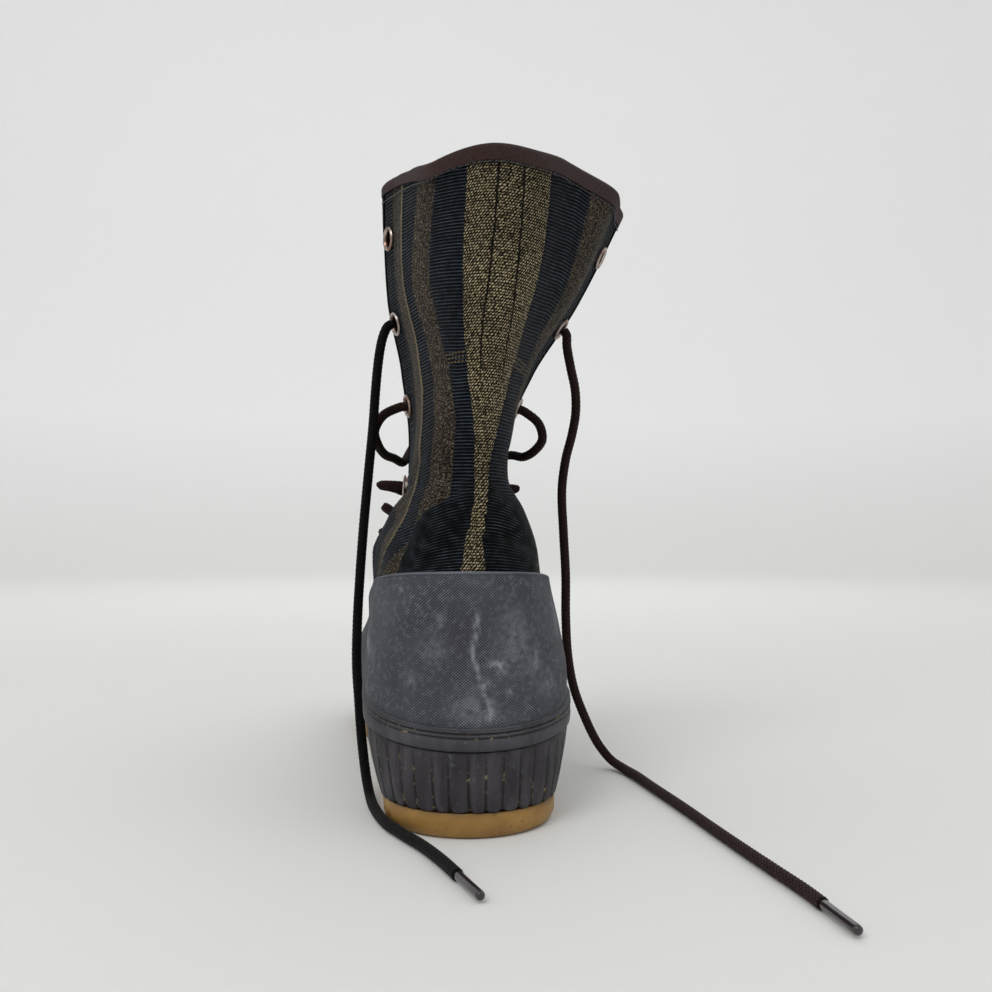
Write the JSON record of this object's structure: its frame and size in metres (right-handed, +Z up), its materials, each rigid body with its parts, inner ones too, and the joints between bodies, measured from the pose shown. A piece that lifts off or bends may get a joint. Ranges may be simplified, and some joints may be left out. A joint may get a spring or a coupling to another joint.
{
  "type": "duck boot",
  "caption": "Lace-up duck boot for the right foot: gum outsole, ribbed foxing, rubber lower and tall striped fabric shaft, worn slack and unlaced at the top.",
  "frame": {"origin": "on the floor under the middle lug of the heel", "axes": "+Z up, the toe points to -Y, the inner side of the foot is +X and the outer side is -X"},
  "size_m": [0.1413, 0.3901, 0.2634],
  "materials": {
    "gum_rubber": "amber gum rubber, satin, dusty at the edge",
    "dark_rubber": "dark grey moulded rubber, satin",
    "grey_rubber": "slate grey rubber with a fine canvas grain and chalky scuffs",
    "striped_cloth": "woven jacquard and ribbed tape in navy, olive gold and brown stripes",
    "lining_cloth": "dark woven lining",
    "insole_foam": "cloth-covered foam footbed",
    "twill_tape": "dark brown twill tape",
    "nickel": "rolled metal eyelets, dull warm nickel",
    "braided_lace": "round braided lace, very dark brown",
    "aglet_plastic": "dark glossy lace tip"
  },
  "bodies": {
    "root": {"aglet_lateral": "aglet_plastic", "aglet_medial": "aglet_plastic", "collar_binding": "twill_tape", "eyelet_l1": "nickel", "eyelet_l2": "nickel", "eyelet_l3": "nickel", "eyelet_l4": "nickel", "eyelet_l5": "nickel", "eyelet_l6": "nickel", "eyelet_l7": "nickel", "eyelet_m1": "nickel", "eyelet_m2": "nickel", "eyelet_m3": "nickel", "eyelet_m4": "nickel", "eyelet_m5": "nickel", "eyelet_m6": "nickel", "eyelet_m7": "nickel", "foxing": "dark_rubber", "insole": "insole_foam", "lace_cross_3": "braided_lace", "lace_cross_4": "braided_lace", "lace_cross_5": "braided_lace", "lace_cross_6": "braided_lace", "lace_cross_7": "braided_lace", "lace_end_lateral": "braided_lace", "lace_end_medial": "braided_lace", "outsole": "gum_rubber", "rim_band": "dark_rubber", "rubber_counter": "grey_rubber", "rubber_vamp": "grey_rubber", "tongue": "lining_cloth", "upper": "striped_cloth"}
  },
  "joints": []
}
